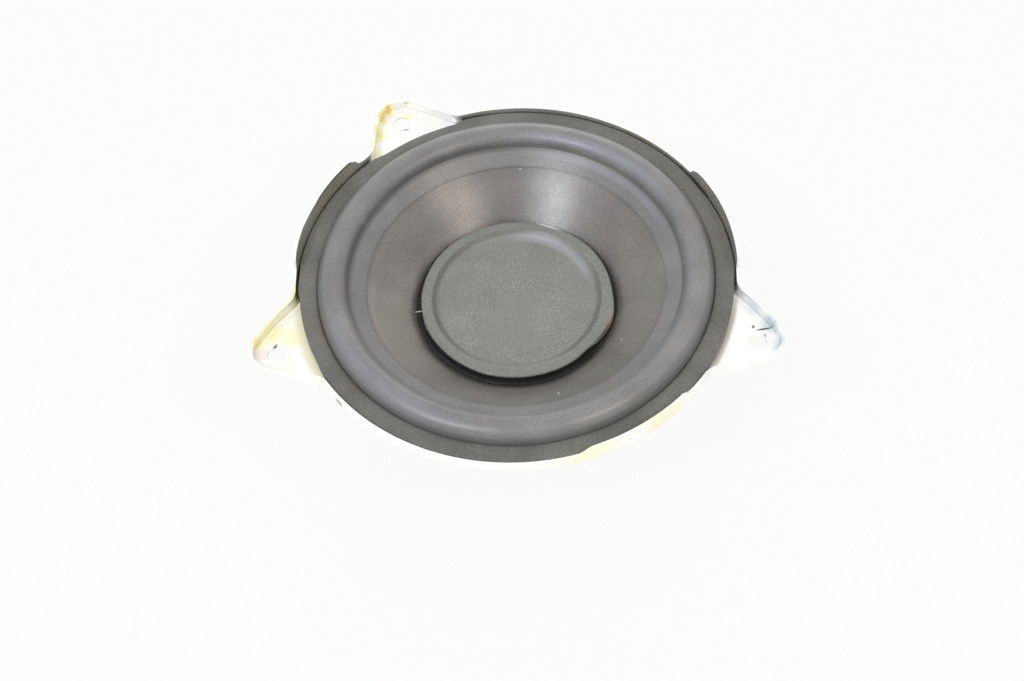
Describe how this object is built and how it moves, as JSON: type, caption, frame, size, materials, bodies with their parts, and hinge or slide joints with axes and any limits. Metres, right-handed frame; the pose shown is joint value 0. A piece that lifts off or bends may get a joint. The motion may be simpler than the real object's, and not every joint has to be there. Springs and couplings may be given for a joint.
{
  "type": "car speaker",
  "caption": "Round cone loudspeaker for a car door: stamped steel frame with screw ears, foam surround, felted dust cap and ring magnet.",
  "frame": {"origin": "centre of the magnet system's rear face", "axes": "+Z along the speaker's axis, out of the cone; +X to the right and +Y away from the viewer in the picture, so the ears lie at 120, 200 and 340 degrees"},
  "size_m": [0.17, 0.152, 0.077],
  "materials": {
    "frame_steel": "yellow passivated zinc plate",
    "gasket": "matt grey fibre gasket",
    "surround_foam": "satin",
    "cone_paper": "coated, fine grain",
    "cap_felt": "felted",
    "glue": "satin black",
    "spider_cloth": "resin-stiffened weave",
    "former_film": "smooth",
    "coil_copper": "enamelled copper",
    "lead_braid": "braided copper tinsel",
    "plated_steel": "zinc plate",
    "ferrite": "ground ferrite",
    "board": "phenolic paper board",
    "terminal_tin": "tinned brass"
  },
  "bodies": {
    "frame": {"frame": "frame_steel", "front_gasket": "gasket", "surround": "surround_foam", "spider": "spider_cloth", "top_plate": "plated_steel", "magnet": "ferrite", "yoke": "plated_steel", "frame_stakes": "plated_steel", "terminal_board": "board", "board_rivet": "plated_steel", "positive_terminal": "terminal_tin", "negative_terminal": "terminal_tin", "terminal_rivets": "terminal_tin", "positive_lead": "lead_braid", "negative_lead": "lead_braid"},
    "cone_assembly": {"cone": "cone_paper", "dust_cap": "cap_felt", "dust_cap_glue": "glue", "cone_neck_glue": "glue", "coil_former": "former_film", "coil_winding": "coil_copper", "coil_wires": "coil_copper", "spider_glue": "glue", "lead_joints": "terminal_tin"}
  },
  "joints": [
    {"name": "cone_travel", "type": "slide", "parent": "frame", "child": "cone_assembly", "axis": [0, 0, 1], "range_m": [-0.004, 0.004], "stiffness_N_per_m": 1500, "deforming": ["surround", "spider", "positive_lead", "negative_lead"]}
  ]
}
